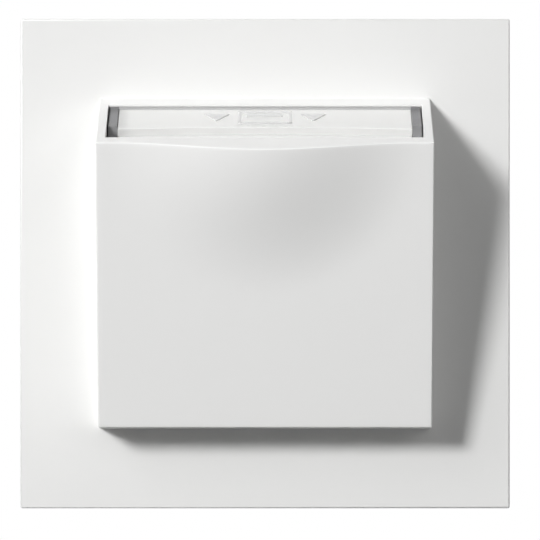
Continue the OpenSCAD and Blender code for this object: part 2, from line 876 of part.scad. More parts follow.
// The live bar: it joins two clamps and carries the blade's pin between two ears.
module line_bar() {
    link_h = 2.4;
    ear_front = blade_y - bar_w / 2;
    color("gold")
        difference() {
            union() {
                block(span(-bar_x, bar_w), [bar_y, bar_y + bar_t], [plunger_z - bar_below, clamp_foot]);
                block([-bar_x - bar_w / 2, bar_w / 2 - lead_x], [bar_y, bar_y + bar_t],
                    [clamp_foot - link_h, clamp_foot]);
                for (s = [-1, 1])
                    block([blade_x - bar_below, blade_x + bar_w / 2], [ear_front, bar_y + bar_t],
                        span(plunger_z + s * ear_z, ear_t));
            }
            translate([blade_x, blade_y, plunger_z - 2 * blade_w])
                cylinder(h = 4 * blade_w, r = blade_pin_r);
        }
}

module load_bar() {
    pad = 2 * contact_r + 1.4;
    color("gold")
        difference() {
            union() {
                block(span(bar_x, bar_w), [bar_y, bar_y + bar_t], [plunger_z - bar_below, clamp_foot]);
                block([contact_x - pad / 2, bar_x - contact_r], [bar_y, bar_y + bar_t], span(plunger_z, pad));
            }
            rod_y(contact_x, plunger_z, bar_y - past, bar_y + 2 * bar_t, rivet_r);
        }
}

module load_contact() {
    color("silver")
        union() {
            rod_y(contact_x, plunger_z, bar_y - rivet_h, bar_y, contact_r);
            rod_y(contact_x, plunger_z, bar_y - eps, bar_y + bar_t, rivet_r);
        }
}

module clamp(x) {
    color("gold")
        difference() {
            block(span(x, clamp_w), [clamp_y, clamp_back], span(clamp_z, clamp_h));
            translate([x, wire_y, clamp_z - wire_below])
                cylinder(h = clamp_h, r = wire_r);
            rod_y(x, clamp_z, wire_y, clamp_back + past, clamp_screw_r);
        }
}

module clamp_line() {
    clamp(clamp_xs[0]);
}

module clamp_link() {
    clamp(clamp_xs[1]);
}

module clamp_neutral() {
    clamp(clamp_xs[2]);
}

module clamp_load() {
    clamp(clamp_xs[3]);
}

module clamp_screw(x) {
    y0 = clamp_back + 2 * fit;
    head_h = 2;
    slot_h = 0.8;
    slot_d = 0.9;
    color("silver")
        difference() {
            union() {
                rod_y(x, clamp_z, y0, y0 + head_h, screw_head_r);
                rod_y(x, clamp_z, wire_y + wire_r + fit, y0 + eps, clamp_screw_r - run);
            }
            block(span(x, 4 * screw_head_r), [y0 + head_h - slot_d, y0 + 2 * head_h], span(clamp_z, slot_h));
        }
}

module clamp_screw_line() {
    clamp_screw(clamp_xs[0]);
}

module clamp_screw_link() {
    clamp_screw(clamp_xs[1]);
}

module clamp_screw_neutral() {
    clamp_screw(clamp_xs[2]);
}

module clamp_screw_load() {
    clamp_screw(clamp_xs[3]);
}

// A long screw from the back that holds housing, yoke and carrier together.
module body_screw(p) {
    y0 = housing_d - screw_sink;
    arm = 4;
    cross = 0.8;
    color("silver")
        difference() {
            union() {
                rod_y(p[0], p[1], y0, y0 + screw_head_h, screw_head_r);
                rod_y(p[0], p[1], face_y + boss_in, y0 + eps, screw_d / 2);
            }
            for (w = [[arm, cross], [cross, arm]])
                block(span(p[0], w[0]), [y0 + screw_head_h / 2, housing_d + past], span(p[1], w[1]));
        }
}

module body_screw_1() {
    body_screw(screw_places[0]);
}

module body_screw_2() {
    body_screw(screw_places[1]);
}

module body_screw_3() {
    body_screw(screw_places[2]);
}

module body_screw_4() {
    body_screw(screw_places[3]);
}

face_plate();
pocket_shell();
legend_window();
legend_strip();
light_tray();
led_board();
led_left();
led_right();
dropper_resistor();
lead_line();
lead_neutral();
pocket_carrier();
card_lever();
lever_pin();
yoke();
rear_housing();
switch_cover();
switch_plunger();
return_spring();
contact_blade();
blade_contact();
blade_pin();
line_bar();
load_bar();
load_contact();
clamp_line();
clamp_link();
clamp_neutral();
clamp_load();
clamp_screw_line();
clamp_screw_link();
clamp_screw_neutral();
clamp_screw_load();
body_screw_1();
body_screw_2();
body_screw_3();
body_screw_4();
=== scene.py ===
"""Looks of a hotel key card switch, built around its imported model.

The cover frame, the card pocket with its swelling lip, the milky window over the slot, the
marker light, the card lever with its leaf switch, the terminals and the wall side each have
an operator. One more sets the stage.
"""

import math

import bmesh
import bpy
from bpy.props import FloatProperty, FloatVectorProperty, IntProperty, PointerProperty
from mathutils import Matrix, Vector


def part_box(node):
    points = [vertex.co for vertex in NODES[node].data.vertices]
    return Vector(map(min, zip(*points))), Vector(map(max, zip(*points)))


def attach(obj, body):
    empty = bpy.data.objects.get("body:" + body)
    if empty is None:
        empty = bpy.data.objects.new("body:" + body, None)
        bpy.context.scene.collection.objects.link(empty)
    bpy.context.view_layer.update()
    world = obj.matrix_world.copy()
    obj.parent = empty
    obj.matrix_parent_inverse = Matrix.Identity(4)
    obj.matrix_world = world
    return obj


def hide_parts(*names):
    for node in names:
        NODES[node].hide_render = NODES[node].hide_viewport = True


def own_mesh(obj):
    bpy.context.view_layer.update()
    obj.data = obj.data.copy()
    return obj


bl_info = {
    "name": "Key card switch",
    "version": (1, 0, 0),
    "blender": (4, 5, 0),
    "location": "3D View > Sidebar > Key Card",
    "description": "Builds the pieces, finishes and stage of a hotel key card switch",
    "category": "Object",
}

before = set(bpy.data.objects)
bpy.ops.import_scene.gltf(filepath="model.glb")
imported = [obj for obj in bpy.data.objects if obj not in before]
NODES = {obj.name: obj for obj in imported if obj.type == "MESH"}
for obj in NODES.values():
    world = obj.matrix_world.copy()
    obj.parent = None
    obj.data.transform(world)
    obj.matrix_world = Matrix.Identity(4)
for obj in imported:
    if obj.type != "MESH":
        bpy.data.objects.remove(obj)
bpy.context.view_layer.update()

FACE_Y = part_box("face_plate")[0].y
POCKET_LOW, POCKET_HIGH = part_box("pocket_shell")
WINDOW_LOW, WINDOW_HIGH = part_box("legend_window")
SPRING_LOW, SPRING_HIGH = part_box("return_spring")
POLES = ("line", "link", "neutral", "load")
X, Y, Z = range(3)
WHITE = (1, 1, 1, 1)
# Turns what stands along Z to lie along Y.
LAID_BACK = (-math.pi / 2, 0, 0)
# Keeps two faces from lying in one plane.
HAIR = 0.00002
# Points that are nearer to each other are one point.
SAME_POINT = 1e-6


# Settings that a user would change


class PocketSizes(bpy.types.PropertyGroup):
    """Sizes of the card pocket."""

    width: FloatProperty(
        name="Width",
        description="Width of the pocket across the front",
        default=POCKET_HIGH.x - POCKET_LOW.x,
        unit="LENGTH",
    )
    height: FloatProperty(
        name="Height",
        description="Height of the pocket where it meets the cover frame",
        default=POCKET_HIGH.z - POCKET_LOW.z,
        unit="LENGTH",
    )
    lip_height: FloatProperty(
        name="Lip height",
        description="How far the lip stands in front of the cover frame",
        default=0.020,
        unit="LENGTH",
    )
    lip_drop: FloatProperty(
        name="Lip drop",
        description="How far the slanted top falls from its back edge to the lip",
        default=0.0083,
        unit="LENGTH",
    )
    foot_height: FloatProperty(
        name="Foot height",
        description="How far the lower edge of the front stands in front of the cover frame",
        default=0.009,
        unit="LENGTH",
    )
    foot_lift: FloatProperty(
        name="Foot lift",
        description="How far the lower edge of the front lies above the base",
        default=0.0005,
        unit="LENGTH",
    )
    swell_height: FloatProperty(
        name="Swelling height",
        description="How far the middle of the lip swells out of the front face",
        default=0.003,
        unit="LENGTH",
    )
    swell_radius: FloatProperty(
        name="Swelling radius",
        description="Distance from the middle of the lip at which the swelling has run out",
        default=0.0265,
        unit="LENGTH",
    )
    side_wall: FloatProperty(
        name="Side wall",
        description="Thickness of the side walls of the slot",
        default=0.0016,
        unit="LENGTH",
    )
    front_wall: FloatProperty(
        name="Front wall",
        description="Thickness of the wall in front of the card",
        default=0.0025,
        unit="LENGTH",
    )
    floor_wall: FloatProperty(
        name="Floor",
        description="Thickness of the floor of the pocket",
        default=0.0018,
        unit="LENGTH",
    )
    rim: FloatProperty(
        name="Rim",
        description="Width of the rim behind the window",
        default=0.003,
        unit="LENGTH",
    )
    rim_depth: FloatProperty(
        name="Rim depth",
        description="Depth of the rim under the back edge of the slanted top",
        default=0.0034,
        unit="LENGTH",
    )
    rim_lip: FloatProperty(
        name="Rim lip",
        description="Thickness of the rim's lip over the edge of the carrier",
        default=0.0003,
        unit="LENGTH",
    )
    rabbet: FloatProperty(
        name="Rabbet",
        description="Depth of the rabbet under the rim's lip",
        default=0.0005,
        unit="LENGTH",
    )
    edge: FloatProperty(
        name="Edge rounding",
        description="Rounding of the outer edges of the pocket",
        default=0.0002,
        unit="LENGTH",
    )
    columns: IntProperty(
        name="Columns",
        description="Columns of points across the swelling front",
        default=88,
        min=16,
    )
    rows: IntProperty(
        name="Rows",
        description="Rows of points down the swelling front",
        default=64,
        min=16,
    )


class WindowSizes(bpy.types.PropertyGroup):
    """Sizes of the window, the sign on it and the film under it."""

    width: FloatProperty(
        name="Width",
        description="Width of the window",
        default=WINDOW_HIGH.x - WINDOW_LOW.x,
        unit="LENGTH",
    )
    thickness: FloatProperty(
        name="Thickness",
        description="Thickness of the window",
        default=0.0015,
        unit="LENGTH",
    )
    sink: FloatProperty(
        name="Sink",
        description="Depth of the window's surface under the rim",
        default=0.00065,
        unit="LENGTH",
    )
    film: FloatProperty(
        name="Film",
        description="Thickness of the film under the window",
        default=0.0005,
        unit="LENGTH",
    )
    hollow: FloatProperty(
        name="Hollow",
        description="Hollow of the window's front edge in its middle",
        default=0.00095,
        unit="LENGTH",
    )
    relief: FloatProperty(
        name="Relief",
        description="Height of the sign above the window",
        default=0.0002,
        unit="LENGTH",
    )
    edge: FloatProperty(
        name="Edge rounding",
        description="Rounding of the window's edges",
        default=0.00018,
        unit="LENGTH",
    )


class Finishes(bpy.types.PropertyGroup):
    """Colours of the main finishes, with one painted light on the grey moulding."""

    cover: FloatVectorProperty(
        name="Cover",
        description="Colour of the white cover frame",
        default=(0.86, 0.86, 0.85),
        subtype="COLOR",
        min=0,
        max=1,
    )
    # The pocket is set paler than the cover frame; the difference is painted light, lifting its
    # front, which faces a little downward.
    pocket: FloatVectorProperty(
        name="Pocket",
        description="Colour of the white card pocket",
        default=(0.93, 0.93, 0.92),
        subtype="COLOR",
        min=0,
        max=1,
    )
    carrier: FloatVectorProperty(
        name="Carrier",
        description="Colour of the grey moulding in the slot",
        default=(0.24, 0.24, 0.245),
        subtype="COLOR",
        min=0,
        max=1,
    )
    # Painted light: the seat colour is a paler band painted on the grey moulding behind the
    # window, standing in for light from the window's edge.
    seat: FloatVectorProperty(
        name="Seat",
        description="Colour of the moulding's edge along the back of the window",
        default=(0.52, 0.52, 0.52),
        subtype="COLOR",
        min=0,
        max=1,
    )
    housing: FloatVectorProperty(
        name="Housing",
        description="Colour of the box behind the yoke",
        default=(0.6, 0.6, 0.59),
        subtype="COLOR",
        min=0,
        max=1,
    )
    legend: FloatVectorProperty(
        name="Legend",
        description="Colour of the film under the window",
        default=(0.88, 0.88, 0.87),
        subtype="COLOR",
        min=0,
        max=1,
    )


class StageLevels(bpy.types.PropertyGroup):
    """Levels of the lamps and the room."""

    key_power: FloatProperty(
        name="Key",
        description="Power of the main lamp at the upper left",
        default=18.5,
        unit="POWER",
    )
    soft_power: FloatProperty(
        name="Soft key",
        description="Power of the wide soft lamp further to the left",
        default=7.5,
        unit="POWER",
    )
    top_power: FloatProperty(
        name="Top",
        description="Power of the soft lamp above",
        default=0.4,
        unit="POWER",
    )
    fill_power: FloatProperty(
        name="Fill",
        description="Power of the soft lamp at the upper right",
        default=1.7,
        unit="POWER",
    )
    back_power: FloatProperty(
        name="Back",
        description="Power of the lamp behind, which only the back and the sides see",
        default=15.0,
        unit="POWER",
    )
    room: FloatProperty(
        name="Room",
        description="Brightness of the room as light on the object",
        default=0.09,
        min=0,
        max=1,
    )
    lens: FloatProperty(
        name="Lens",
        description="Focal length of the camera in millimetres",
        default=288.75,
        subtype="DISTANCE_CAMERA",
    )


# Trees


class Tree:
    """Adds nodes to a tree, joins their sockets and lays them out in columns."""

    def __init__(self, tree):
        self.tree = tree

    def feed(self, socket, value):
        if isinstance(value, bpy.types.NodeSocket):
            self.tree.links.new(value, socket)
        else:
            socket.default_value = value

    def node(self, kind, inputs=None, **settings):
        made = self.tree.nodes.new(kind)
        column, row = divmod(len(self.tree.nodes), 5)
        made.location = (190 * column, -200 * row)
        for key, value in settings.items():
            setattr(made, key, value)
        for key, value in (inputs or {}).items():
            self.feed(made.inputs[key], value)
        return made

    def out(self, kind, inputs=None, **settings):
        """The first output of a new node."""
        return self.node(kind, inputs, **settings).outputs[0]

    def math(self, operation, *values):
        return self.out("ShaderNodeMath", dict(enumerate(values)), operation=operation)

    def add(self, a, b):
        return self.math("ADD", a, b)

    def sub(self, a, b):
        return self.math("SUBTRACT", a, b)

    def mul(self, a, b):
        return self.math("MULTIPLY", a, b)

    def div(self, a, b):
        return self.math("DIVIDE", a, b)

    def blend(self, share, a, b):
        return self.add(a, self.mul(share, self.sub(b, a)))

    def distance(self, a, b):
        return self.math("SQRT", self.add(self.mul(a, a), self.mul(b, b)))

    def mix(self, share, a, b):
        """Blends two colours, which the node takes on its sockets 6 and 7."""
        made = self.node("ShaderNodeMix", {"Factor": share, 6: a, 7: b}, data_type="RGBA")
        return made.outputs[2]

    def place(self):
        return self.node("ShaderNodeTexCoord").outputs["Object"]

    def noise(self, place, scale, detail):
        values = {"Vector": place, "Scale": scale, "Detail": detail}
        return self.out("ShaderNodeTexNoise", values)

    def vector(self, **axes):
        return self.out("ShaderNodeCombineXYZ", axes)

    def moved(self, geometry, by, turn=(0, 0, 0)):
        values = {"Geometry": geometry, "Translation": by, "Rotation": turn}
        return self.out("GeometryNodeTransform", values)

    def tube(self, path, sides, radius):
        """A round tube along a path."""
        section = {"Resolution": sides, "Radius": radius}
        values = {
            "Curve": path,
            "Profile Curve": self.out("GeometryNodeCurvePrimitiveCircle", section),
            "Fill Caps": True,
        }
        return self.out("GeometryNodeCurveToMesh", values)

    def join(self, *parts):
        joined = self.node("GeometryNodeJoinGeometry")
        for part in parts:
            self.feed(joined.inputs[0], part)
        return joined.outputs[0]


def node_tree(name, kind, inputs, outputs):
    """A new node group with named sockets, its helper, and its input and output sockets."""
    tree = bpy.data.node_groups.new(name, kind)
    for label, socket, *default in inputs:
        made = tree.interface.new_socket(
            label, in_out="INPUT", socket_type="NodeSocket" + socket
        )
        if default:
            made.default_value = default[0]
    for label, socket in outputs:
        tree.interface.new_socket(label, in_out="OUTPUT", socket_type="NodeSocket" + socket)
    t = Tree(tree)
    given = t.node("NodeGroupInput").outputs
    result = t.node("NodeGroupOutput").inputs
    return tree, t, given, result


def skin_tree(name, inputs):
    """A new shader group for a skin, with the outputs that all skins have."""
    outputs = [("Colour", "Color"), ("Roughness", "Float"), ("Height", "Float")]
    return node_tree(name, "ShaderNodeTree", inputs, outputs)


def shape_tree(name, lengths, *others):
    """A new Geometry Nodes tree with lengths and other inputs, and a material."""
    inputs = [*others, *((label, "Float") for label in lengths), ("Material", "Material")]
    return node_tree(name, "GeometryNodeTree", inputs, [("Geometry", "Geometry")])


def deliver(t, geometry, given, result):
    """Ends a shape's tree with real geometry in its material."""
    whole = t.out("GeometryNodeRealizeInstances", {"Geometry": geometry})
    values = {"Geometry": whole, "Material": given["Material"]}
    t.feed(result["Geometry"], t.out("GeometryNodeSetMaterial", values))


# Finishes


METALS = {
    # colour, colour of the dull patches, gloss, stretch of the streaks along the axes
    "plated_steel": ((0.7, 0.7, 0.71), (0.55, 0.56, 0.57), 0.24, (1, 1, 20)),
    "zinc_sheet": ((0.66, 0.68, 0.69), (0.5, 0.51, 0.54), 0.34, (14, 1, 1)),
    "machined_brass": ((0.8, 0.6, 0.27), (0.62, 0.44, 0.2), 0.28, (1, 12, 1)),
    "contact_silver": ((0.87, 0.86, 0.83), (0.6, 0.58, 0.55), 0.2, (1, 1, 1)),
    "spring_bronze": ((0.72, 0.48, 0.25), (0.55, 0.35, 0.2), 0.26, (1, 1, 30)),
    "spring_steel": ((0.62, 0.62, 0.63), (0.4, 0.4, 0.42), 0.25, (1, 1, 1)),
    "drawn_copper": ((0.78, 0.42, 0.26), (0.5, 0.27, 0.18), 0.3, (30, 1, 30)),
}


def moulded_skin():
    """Shared skin of moulded plastic: faint mottling, uneven gloss and a fine grain."""
    name = "Moulded skin"
    if name in bpy.data.node_groups:
        return bpy.data.node_groups[name]
    tree, t, given, result = skin_tree(
        name,
        [
            ("Colour", "Color", (0.8, 0.8, 0.8, 1)),
            ("Mottle", "Float", 0.02),
            ("Gloss", "Float", 0.4),
            ("Gloss spread", "Float", 0.08),
            ("Grain size", "Float", 0.0004),
        ],
    )
    cloud_scale, grain_in_gloss = 70.0, 0.35
    place = t.place()
    grain = t.noise(place, t.div(1.0, given["Grain size"]), detail=3.0)
    cloud = t.noise(place, cloud_scale, detail=2.0)
    shade = t.add(1.0, t.mul(given["Mottle"], t.sub(cloud, 0.5)))
    values = {0: given["Colour"], "Scale": shade}
    t.feed(result["Colour"], t.out("ShaderNodeVectorMath", values, operation="SCALE"))
    flow = t.blend(grain_in_gloss, cloud, grain)
    uneven = t.mul(given["Gloss spread"], t.sub(flow, 0.5))
    t.feed(result["Roughness"], t.add(given["Gloss"], uneven))
    t.feed(result["Height"], grain)
    return tree


def worked_metal():
    """Shared skin of metal: drawn streaks, dull patches and fine scratches."""
    name = "Worked metal"
    if name in bpy.data.node_groups:
        return bpy.data.node_groups[name]
    tree, t, given, result = skin_tree(
        name,
        [
            ("Colour", "Color", (0.7, 0.7, 0.7, 1)),
            ("Dull colour", "Color", (0.5, 0.5, 0.5, 1)),
            ("Gloss", "Float", 0.3),
            ("Streak", "Vector", (1, 1, 20)),
        ],
    )
    streak_scale, patch_scale = 260.0, 160.0
    dull_from, dull_to = 0.42, 0.7
    streak_gloss, dull_gloss = 0.16, 0.12
    place = t.place()
    values = {0: place, 1: given["Streak"]}
    drawn = t.out("ShaderNodeVectorMath", values, operation="MULTIPLY")
    streak = t.noise(drawn, streak_scale, detail=4.0)
    patch = t.noise(place, patch_scale, detail=3.0)
    dull = t.out("ShaderNodeMapRange", {0: patch, 1: dull_from, 2: dull_to})
    t.feed(result["Colour"], t.mix(dull, given["Colour"], given["Dull colour"]))
    rough = t.add(t.mul(streak_gloss, t.sub(streak, 0.5)), t.mul(dull_gloss, dull))
    t.feed(result["Roughness"], t.add(given["Gloss"], rough))
    t.feed(result["Height"], streak)
    return tree


class Surface(Tree):
    """A new material with one Principled shader, which can take its gloss from a skin."""

    def __init__(self, name, group=None, **values):
        self.material = bpy.data.materials.new(name)
        self.material.use_nodes = True
        super().__init__(self.material.node_tree)
        self.tree.nodes.clear()
        self.shader = self.node("ShaderNodeBsdfPrincipled")
        self.output = self.node("ShaderNodeOutputMaterial")
        self.show(self.shader.outputs[0])
        if group is not None:
            inputs = {key.replace("_", " "): value for key, value in values.items()}
            self.skin = self.node("ShaderNodeGroup", inputs, node_tree=group).outputs
            self.set("Roughness", self.skin["Roughness"])

    def set(self, label, value):
        self.feed(self.shader.inputs[label], value)

    def show(self, shader):
        self.feed(self.output.inputs["Surface"], shader)

    def bump(self, height, strength, depth):
        values = {"Strength": strength, "Distance": depth, "Height": height}
        self.set("Normal", self.out("ShaderNodeBump", values))

    def seen(self, colour):
        """Sets the colour in Blender's own view, and gives the material."""
        self.material.diffuse_color = (*colour, 1)
        return self.material


def plastic(name, colour, gloss, grain=0.0004, depth=0.00001, mottle=0.02):
    """A moulded plastic on the shared skin."""
    if name in bpy.data.materials:
        return bpy.data.materials[name]
    made = Surface(
        name,
        moulded_skin(),
        Colour=(*colour, 1),
        Mottle=mottle,
        Gloss=gloss,
        Gloss_spread=0.1,
        Grain_size=grain,
    )
    made.set("Base Color", made.skin["Colour"])
    made.bump(made.skin["Height"], strength=0.5, depth=depth)
    return made.seen(colour)


def metal(name):
    """A rolled, drawn or plated metal on the shared skin."""
    if name in bpy.data.materials:
        return bpy.data.materials[name]
    colour, dull, gloss, streak = METALS[name]
    made = Surface(
        name,
        worked_metal(),
        Colour=(*colour, 1),
        Dull_colour=(*dull, 1),
        Gloss=gloss,
        Streak=streak,
    )
    made.set("Base Color", made.skin["Colour"])
    made.set("Metallic", 1.0)
    made.bump(made.skin["Height"], strength=0.4, depth=0.000006)
    return made.seen(colour)


def milky_acrylic(name, frost, tint, clear):
    """Milky moulded acrylic. Lamps shine through it on what lies behind."""
    made = Surface(name, moulded_skin(), Gloss=frost, Gloss_spread=0.04, Grain_size=0.0012)
    made.set("Base Color", (*tint, 1))
    made.set("IOR", 1.49)
    made.set("Transmission Weight", clear)
    made.bump(made.skin["Height"], strength=0.3, depth=0.000004)
    rays = made.node("ShaderNodeLightPath").outputs
    lit = made.math("MAXIMUM", rays["Is Shadow Ray"], rays["Is Diffuse Ray"])
    passed = made.out("ShaderNodeBsdfTransparent", {"Color": (0.97, 0.97, 0.97, 1)})
    values = {0: lit, 1: made.shader.outputs[0], 2: passed}
    made.show(made.out("ShaderNodeMixShader", values))
    return made.seen((0.9, 0.93, 0.95))


def marked_plastic(name, colour, mark, gloss, bounds):
    """A plastic with another colour inside bounds, which give a start and an end for an axis."""
    made = Surface(name, moulded_skin(), Colour=(*colour, 1), Gloss=gloss)
    axes = made.node("ShaderNodeSeparateXYZ", {0: made.place()}).outputs
    inside = 1.0
    for axis, (start, end) in bounds.items():
        past = made.math("GREATER_THAN", axes[axis], start)
        short = made.math("LESS_THAN", axes[axis], end)
        inside = made.mul(inside, made.mul(past, short))
    made.set("Base Color", made.mix(inside, made.skin["Colour"], (*mark, 1)))
    made.bump(made.skin["Height"], strength=0.3, depth=0.000006)
    return made.material


def solder_mask():
    """Green lacquer over the raised tracks of a circuit board."""
    green, pale_green = (0.02, 0.17, 0.07, 1), (0.05, 0.3, 0.12, 1)
    made = Surface("solder_mask", moulded_skin(), Colour=green, Mottle=0.2, Gloss=0.3)
    tracks = made.out(
        "ShaderNodeTexBrick",
        {
            "Vector": made.place(),
            "Color1": (0, 0, 0, 1),
            "Color2": (0, 0, 0, 1),
            "Mortar": WHITE,
            "Scale": 1.0,
            "Mortar Size": 0.0004,
            "Brick Width": 0.0052,
            "Row Height": 0.0026,
        },
    )
    made.set("Base Color", made.mix(tracks, made.skin["Colour"], pale_green))
    made.bump(tracks, strength=0.4, depth=0.00003)
    return made.material


def white_cover(name, colour):
    return plastic(name, colour, gloss=0.36, grain=0.0005, depth=0.000004, mottle=0.012)


def natural_white():
    colour = (0.8, 0.8, 0.77)
    return plastic("natural_acetal", colour, gloss=0.42, grain=0.0003, depth=0.000006)


# Pieces


def linked(name, data):
    made = bpy.data.objects.new(name, data)
    bpy.context.scene.collection.objects.link(made)
    return made


def finished(obj, material=None):
    """Turns what the modifiers make into the object's own plain mesh."""
    bpy.context.view_layer.update()
    graph = bpy.context.evaluated_depsgraph_get()
    mesh = bpy.data.meshes.new_from_object(
        obj.evaluated_get(graph), preserve_all_data_layers=True, depsgraph=graph
    )
    obj.modifiers.clear()
    old = obj.data
    obj.data = mesh
    mesh.name = obj.name
    if old.users == 0:
        bpy.data.meshes.remove(old)
    if material is not None:
        mesh.materials.clear()
        mesh.materials.append(material)
    if not mesh.polygons:
        raise RuntimeError(f"{obj.name} came out empty")


def placed(obj, body, slot, *nodes):
    """Hands a finished piece to the body that it rides on."""
    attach(obj, body)
    if nodes:
        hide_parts(*nodes)


def dress(material, *nodes):
    """Gives CAD pieces their finish."""
    for name in nodes:
        mesh = NODES[name].data
        mesh.materials.clear()
        mesh.materials.append(material)


def shaped(name, tree, values, mesh=None):
    """A new object with what a Geometry Nodes tree makes, its inputs set by identifier."""
    obj = linked(name, mesh or bpy.data.meshes.new(name))
    made = obj.modifiers.new(tree.name, "NODES")
    made.node_group = tree
    for item in tree.interface.items_tree:
        if item.in_out == "INPUT" and item.name in values:
            made[item.identifier] = values[item.name]
    return obj


def rounded(obj, width, segments, angle=None):
    """Rounds the edges that are sharper than an angle, or else those that carry a weight."""
    bevel = obj.modifiers.new("Edges", "BEVEL")
    bevel.width = width
    bevel.segments = segments
    if angle is None:
        bevel.limit_method = "WEIGHT"
        bevel.use_clamp_overlap = False
    else:
        bevel.limit_method = "ANGLE"
        bevel.angle_limit = math.radians(angle)
    finished(obj)


def smoothed(obj, material=None, angle=35.0):
    """Smooth faces with true flat sides: sharp edges stay, large faces set the normals."""
    obj.data.set_sharp_from_angle(angle=math.radians(angle))
    weighted = obj.modifiers.new("Normals", "WEIGHTED_NORMAL")
    weighted.keep_sharp = True
    finished(obj, material)


def softened(node, name, body, slot, material, width):
    """Stands for a CAD piece with its long outer edges rounded a little."""
    flat, outer, room = math.radians(0.5), math.radians(40), 4 * width
    mesh = NODES[node].data.copy()
    work = bmesh.new()
    work.from_mesh(mesh)
    bmesh.ops.remove_doubles(work, verts=work.verts, dist=SAME_POINT)
    bmesh.ops.dissolve_limit(work, angle_limit=flat, verts=work.verts, edges=work.edges)
    weight = work.edges.layers.float.new("bevel_weight_edge")
    for edge in work.edges:
        near = min(e.calc_length() for v in edge.verts for e in v.link_edges)
        ridge = edge.is_manifold and edge.calc_face_angle_signed() > outer
        edge[weight] = float(ridge and near > room)
    work.to_mesh(mesh)
    work.free()
    mesh.shade_smooth()
    obj = linked(name, mesh)
    rounded(obj, width, segments=2)
    smoothed(obj, material)
    placed(obj, body, slot, node)


def walls(work, first, second):
    """Faces between two closed loops of as many points."""
    for i in range(len(first)):
        j = (i + 1) % len(first)
        work.faces.new((first[i], first[j], second[j], second[i]))


def block(work, first, second):
    """A closed block between two loops."""
    walls(work, first, second)
    work.faces.new(first)
    work.faces.new(second)


def closed_piece(name, work):
    """A new object from finished bmesh work, with its faces pointing outwards."""
    bmesh.ops.recalc_face_normals(work, faces=work.faces)
    mesh = bpy.data.meshes.new(name)
    work.to_mesh(mesh)
    work.free()
    return linked(name, mesh)


# The card pocket


WEDGE_LENGTHS = (
    "Width",
    "Height",
    "Lip height",
    "Lip drop",
    "Foot height",
    "Foot lift",
    "Swell height",
    "Swell radius",
)
WEDGE_COUNTS = ("Columns", "Rows")


class Slopes:
    """The pocket's planes in (h, z), h being the height in front of the cover frame."""

    def __init__(self, sizes):
        self.sizes = sizes
        self.top = sizes.height / 2
        self.lip = Vector((sizes.lip_height, self.top - sizes.lip_drop))
        self.foot = Vector((sizes.foot_height, sizes.foot_lift - self.top))
        self.top_angle = math.atan(sizes.lip_drop / sizes.lip_height)
        self.front_angle = math.atan2(self.lip.x - self.foot.x, self.lip.y - self.foot.y)

    def slope_point(self, x, s, w):
        """A point on the slanted top: s down the slope, w above it."""
        c, d = math.cos(self.top_angle), math.sin(self.top_angle)
        return Vector((x, FACE_Y - s * c - w * d, self.top - s * d + w * c))

    def inner_front(self, z):
        """How far forward the inside of the front wall stands at height z."""
        wall = self.sizes.front_wall / math.cos(self.front_angle)
        return self.lip.x - wall + (z - self.lip.y) * math.tan(self.front_angle)

    def rim_front(self, z):
        """How far forward the rim's front face stands at height z."""
        tangent = math.tan(self.top_angle)
        rim_top = self.top - self.sizes.rim * tangent
        return self.sizes.rim - (rim_top - z) * tangent

    def rim_point(self, back, down):
        """A point of the rim's profile, from its front edge back and down across the slope."""
        c, d = math.cos(self.top_angle), math.sin(self.top_angle)
        s = self.sizes.rim / c - back
        return s * c - down * d, self.top - s * d - down * c

    def window_span(self):
        """Where the window starts and ends down the slope."""
        seat, slot_depth, lap = 0.0005, 0.0054, 0.00035
        c = math.cos(self.top_angle)
        reach = self.inner_front(self.lip.y) - slot_depth + lap
        return self.sizes.rim / c + seat, reach / c


def wedge_tree():
    """A wedge whose front swells out at the middle of its lip."""
    tree, t, given, result = shape_tree(
        "Swelling wedge",
        (*WEDGE_LENGTHS, "Face"),
        *((label, "Int") for label in WEDGE_COUNTS),
    )
    cube = t.out(
        "GeometryNodeMeshCube",
        {
            "Size": (1, 1, 1),
            "Vertices X": given["Columns"],
            "Vertices Y": 2,
            "Vertices Z": given["Rows"],
        },
    )
    grid = t.node("ShaderNodeSeparateXYZ", {0: t.out("GeometryNodeInputPosition")}).outputs
    x = t.mul(grid[X], given["Width"])
    fall = t.sub(0.5, grid[Z])
    front = t.math("LESS_THAN", grid[Y], 0.0)
    half = t.mul(given["Height"], 0.5)
    lip_z = t.sub(half, given["Lip drop"])
    foot_z = t.sub(given["Foot lift"], half)
    run_h = t.sub(given["Foot height"], given["Lip height"])
    run_z = t.sub(foot_z, lip_z)
    length = t.distance(run_h, run_z)
    down_h = t.div(run_h, length)
    down_z = t.div(run_z, length)
    # Half a cosine wave from the crown of the swelling to its run out into the face.
    along = t.mul(fall, length)
    away = t.distance(x, along)
    share = t.math("MINIMUM", t.div(away, given["Swell radius"]), 1.0)
    wave = t.math("COSINE", t.mul(share, math.pi))
    rise = t.mul(given["Swell height"], t.add(t.mul(wave, 0.5), 0.5))
    # The lip stays in the plane of the slanted top, so the swelling also slides down a little.
    tangent = t.div(given["Lip drop"], given["Lip height"])
    lean = t.div(
        t.add(down_h, t.mul(tangent, t.mul(down_z, -1.0))),
        t.mul(t.add(down_z, t.mul(tangent, down_h)), -1.0),
    )
    slide = t.mul(t.mul(lean, rise), t.sub(1.0, fall))
    down = t.add(along, slide)
    front_h = t.sub(t.add(given["Lip height"], t.mul(down, down_h)), t.mul(rise, down_z))
    front_z = t.add(t.add(lip_z, t.mul(down, down_z)), t.mul(rise, down_h))
    back_z = t.mul(grid[Z], given["Height"])
    place = t.vector(
        X=x,
        Y=t.sub(given["Face"], t.mul(front, front_h)),
        Z=t.blend(front, back_z, front_z),
    )
    wedge = t.out("GeometryNodeSetPosition", {"Geometry": cube, "Position": place})
    smooth = t.out("GeometryNodeSetShadeSmooth", {"Geometry": wedge})
    deliver(t, smooth, given, result)
    return tree


